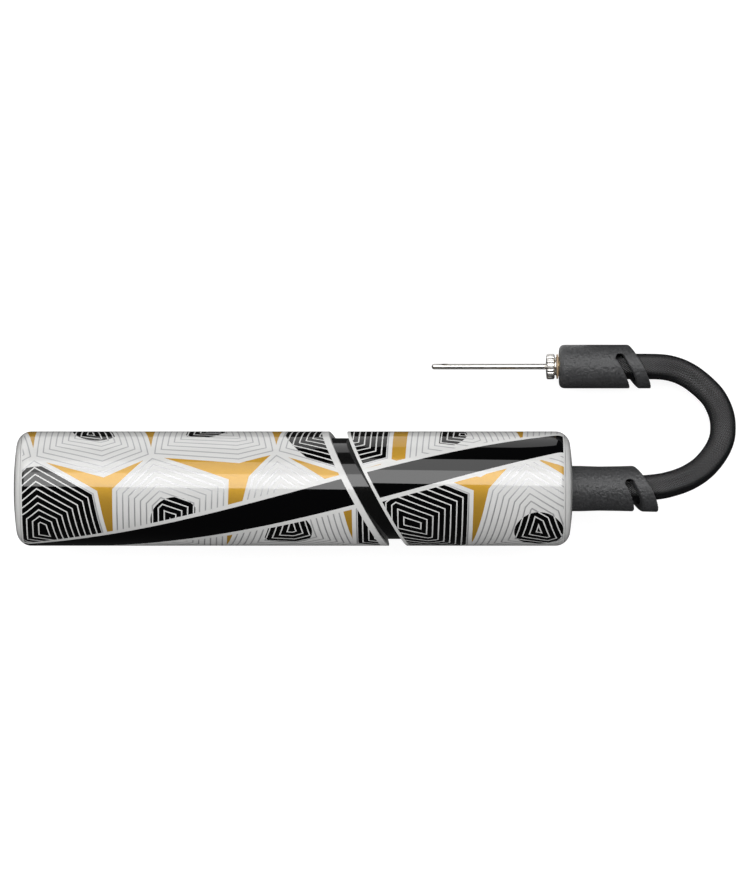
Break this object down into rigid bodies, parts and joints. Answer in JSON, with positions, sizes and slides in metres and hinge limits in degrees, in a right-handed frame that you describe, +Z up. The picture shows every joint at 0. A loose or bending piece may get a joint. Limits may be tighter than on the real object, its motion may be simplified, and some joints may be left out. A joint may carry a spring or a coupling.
{
  "type": "ball inflation pump",
  "caption": "Slim two-part hand pump for balls: a printed case slides over a barrel, with a short braided hose ending in an inflation needle.",
  "frame": {"origin": "under the middle of the case, on the surface that the pump lies on", "axes": "+X along the case from the handle to the hose, +Y towards the side where the hose and needle lie, +Z up"},
  "size_m": [0.2465, 0.0688, 0.039],
  "materials": {
    "lacquer": "gloss white lacquer with printed black cells, metallic gold patches and fine silver contour lines",
    "black_gloss": "gloss black",
    "grey_nylon": "moulded, satin",
    "white_acetal": "machined, waxy",
    "seal_rubber": "smooth, greased",
    "steel": "drawn and ground",
    "nickel": "bright nickel plate",
    "brass": "turned",
    "aluminium": "crimped, satin",
    "cuff_rubber": "moulded with a fine grain, matte",
    "fibre": "pressed fibre",
    "braid": "black braided cover with a slight gloss"
  },
  "bodies": {
    "head": {"head_shell": "lacquer", "head_end_cap": "lacquer", "barrel": "black_gloss", "barrel_gland": "grey_nylon", "guide_ring": "white_acetal", "head_block": "grey_nylon", "head_o_ring": "seal_rubber", "valve_seat": "seal_rubber", "valve_spring": "steel", "spring_retainer": "brass", "swivel_nut": "brass"},
    "handle": {"handle_shell": "lacquer", "handle_end_cap": "lacquer", "rod_pin": "steel", "stroke_bumper": "seal_rubber", "piston_rod": "aluminium", "piston": "white_acetal", "piston_screw": "steel"},
    "seal": {"piston_seal": "seal_rubber"},
    "valve": {"valve_ball": "steel"},
    "hose_line": {"swivel_fitting": "brass", "swivel_o_ring": "seal_rubber", "lower_ferrule": "aluminium", "lower_cuff": "cuff_rubber", "hose": "braid", "upper_ferrule": "aluminium", "upper_cuff": "cuff_rubber", "needle_socket": "brass"},
    "washer": {"needle_washer": "fibre"},
    "needle": {"needle_hub": "nickel", "needle_tube": "nickel"}
  },
  "joints": [
    {"name": "handle_stroke", "type": "slide", "parent": "head", "child": "handle", "axis": [-1, 0, 0], "range_m": [0, 0.095]},
    {"name": "seal_float", "type": "slide", "parent": "handle", "child": "seal", "axis": [1, 0, 0], "range_m": [0, 0.0011]},
    {"name": "valve_lift", "type": "slide", "parent": "head", "child": "valve", "axis": [1, 0, 0], "range_m": [0, 0.0012], "stiffness_N_per_m": 80, "springref_m": -0.0015, "deforming": ["valve_spring"]},
    {"name": "hose_swivel", "type": "hinge", "parent": "head", "child": "hose_line", "pos_m": [0.065, 0, 0.0195], "axis": [1, 0, 0], "continuous": true},
    {"name": "needle_advance", "type": "slide", "parent": "hose_line", "child": "washer", "axis": [-1, 0, 0], "range_m": [0, 0.00476]},
    {"name": "needle_turn", "type": "hinge", "parent": "washer", "child": "needle", "pos_m": [0.0876, 0.0418, 0.0075], "axis": [-1, 0, 0], "range_deg": [0, 2160]}
  ],
  "couplings": [
    {"joint": "needle_turn", "follows": "needle_advance", "rad_per_m": 7913.3}
  ]
}
